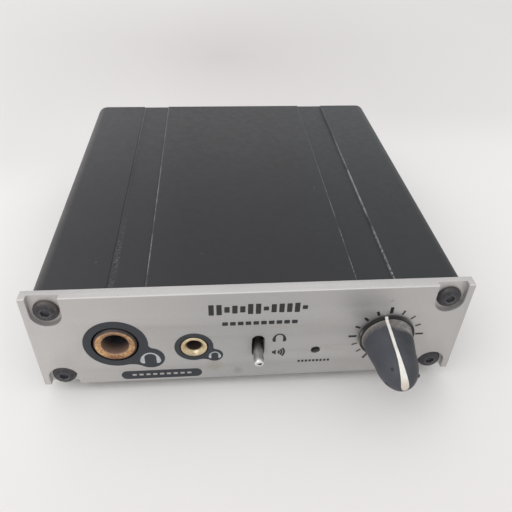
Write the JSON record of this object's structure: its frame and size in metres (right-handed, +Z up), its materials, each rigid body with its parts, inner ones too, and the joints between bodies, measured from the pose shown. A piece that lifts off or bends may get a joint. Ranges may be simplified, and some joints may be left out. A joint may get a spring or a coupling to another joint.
{
  "type": "headphone amplifier",
  "caption": "Desktop headphone amplifier: black extruded case, thick silver front panel with large and small phone jacks, toggle switch, lamp and volume knob.",
  "frame": {"origin": "on the surface that the feet stand on, under the middle of the object's box", "axes": "+Z up, +Y towards the back, +X to the right seen from the front; the front panel faces -Y"},
  "size_m": [0.1046, 0.1328, 0.0325],
  "materials": {
    "black_aluminium": "fine matt black finish on extruded aluminium",
    "silver_aluminium": "satin silver anodised plate",
    "board": "green lacquered circuit board",
    "black_steel": "black oxide steel, satin",
    "rubber": "matt black rubber",
    "black_plastic": "moulded black plastic",
    "copper": "copper-coloured plated ring, satin",
    "gold": "gold-coloured plated ring, polished",
    "steel": "plain plated steel",
    "heat_sink_aluminium": "plain extruded aluminium",
    "chrome": "polished chrome plate",
    "led_lens": "dark clear lens, unlit",
    "soft_touch_black": "soft-touch coating, worn pale at the edge",
    "white_plastic": "moulded white plastic",
    "red_plastic": "moulded red plastic",
    "chip_black": "moulded black package",
    "capacitor_sleeve": "shrink sleeve, glossy"
  },
  "bodies": {
    "chassis": {"case_sleeve": "black_aluminium", "rear_panel": "black_aluminium", "front_panel": "silver_aluminium", "main_board": "board", "front_screw_upper_left": "black_steel", "front_screw_upper_right": "black_steel", "front_screw_lower_left": "black_steel", "front_screw_lower_right": "black_steel", "rear_screw_upper_left": "black_steel", "rear_screw_upper_right": "black_steel", "rear_screw_lower_left": "black_steel", "rear_screw_lower_right": "black_steel", "foot_front_left": "rubber", "foot_back_left": "rubber", "foot_front_right": "rubber", "foot_back_right": "rubber", "phone_jack_large_body": "black_plastic", "phone_jack_small_body": "black_plastic", "toggle_switch_body": "black_plastic", "led_holder": "black_plastic", "volume_pot_body": "black_plastic", "rca_housing": "black_plastic", "power_jack_body": "black_plastic", "power_switch_body": "black_plastic", "op_amp_socket_left": "black_plastic", "op_amp_socket_right": "black_plastic", "phone_jack_large_collar": "copper", "phone_jack_small_ring": "gold", "toggle_switch_bushing": "steel", "volume_pot_bushing": "steel", "rca_left_shell": "steel", "rca_right_shell": "steel", "usb_socket_shell": "steel", "crystal": "steel", "power_jack_pin": "steel", "heat_sink": "heat_sink_aluminium", "indicator_led": "led_lens", "rca_left_insert": "white_plastic", "usb_socket_tongue": "white_plastic", "output_relay": "white_plastic", "rca_right_insert": "red_plastic", "op_amp_chip_left": "chip_black", "op_amp_chip_right": "chip_black", "usb_receiver_chip": "chip_black", "converter_chip": "chip_black", "regulator": "chip_black", "inductor": "chip_black", "smoothing_capacitor_1": "capacitor_sleeve", "smoothing_capacitor_2": "capacitor_sleeve", "smoothing_capacitor_3": "capacitor_sleeve", "smoothing_capacitor_4": "capacitor_sleeve", "smoothing_capacitor_5": "capacitor_sleeve"},
    "knob": {"knob_body": "soft_touch_black", "knob_pointer": "white_plastic", "volume_pot_shaft": "steel"},
    "toggle": {"toggle_lever": "chrome"},
    "power_slider": {"power_switch_slider": "black_plastic"}
  },
  "joints": [
    {"name": "volume_turn", "type": "hinge", "parent": "chassis", "child": "knob", "pos_m": [0.03335, -0.05005, 0.01675], "axis": [0, 1, 0], "range_deg": [-140, 160]},
    {"name": "toggle_tilt", "type": "hinge", "parent": "chassis", "child": "toggle", "pos_m": [0.00145, -0.04505, 0.0145], "axis": [-1, 0, 0], "range_deg": [0, 28]},
    {"name": "power_switch_slide", "type": "slide", "parent": "chassis", "child": "power_slider", "axis": [1, 0, 0], "range_m": [0, 0.003]}
  ]
}
